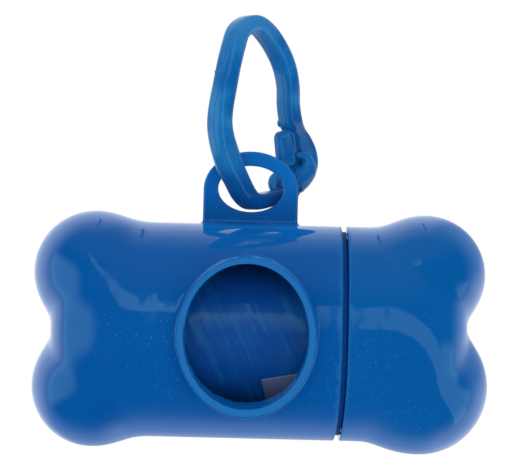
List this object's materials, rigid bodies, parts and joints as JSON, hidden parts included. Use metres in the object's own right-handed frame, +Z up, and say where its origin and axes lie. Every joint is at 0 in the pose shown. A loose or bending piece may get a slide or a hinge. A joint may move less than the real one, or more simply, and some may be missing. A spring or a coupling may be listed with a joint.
{
  "type": "dog waste bag dispenser",
  "caption": "Bone-shaped blown plastic dispenser for a roll of waste bags, with an oval front window, a pull-off end cap and a pear-shaped clip hanging in the eye of its lug.",
  "frame": {"origin": "middle of the lug's eye, where the dispenser hangs", "axes": "+X along the bone towards the end cap, +Z up through the lug, -Y out of the window"},
  "size_m": [0.085, 0.0415, 0.0814],
  "materials": {
    "shell_plastic": "glossy blow-moulded polyethylene, royal blue, slightly uneven",
    "clip_plastic": "satin moulded plastic, blue",
    "bag_film": "wound thin film, blue, hazy and creased",
    "core_card": "plain brown paper tube",
    "label_paper": "plain white paper"
  },
  "bodies": {
    "shell": {"body_shell": "shell_plastic"},
    "cap": {"end_cap": "shell_plastic"},
    "clip": {"clip_frame": "clip_plastic"},
    "gate": {"clip_gate": "clip_plastic", "gate_pin": "clip_plastic"},
    "roll": {"bag_roll": "bag_film", "roll_core": "core_card", "roll_label": "label_paper"}
  },
  "joints": [
    {"name": "cap_pull", "type": "slide", "parent": "shell", "child": "cap", "axis": [1, 0, 0], "range_m": [0, 0.03]},
    {"name": "roll_spin", "type": "hinge", "parent": "shell", "child": "roll", "pos_m": [0.0022, 0, -0.027], "axis": [1, 0, 0], "continuous": true},
    {"name": "clip_turn", "type": "hinge", "parent": "shell", "child": "clip", "pos_m": [0.0008, 0, 0], "axis": [0, 0, 1], "range_deg": [0, 90]},
    {"name": "gate_swing", "type": "hinge", "parent": "clip", "child": "gate", "pos_m": [0.00854, 0.00774, 0.0028], "axis": [0.7071, -0.7071, 0], "range_deg": [0, 25], "stiffness_Nm_per_rad": 0.006, "springref_deg": -11.46}
  ]
}
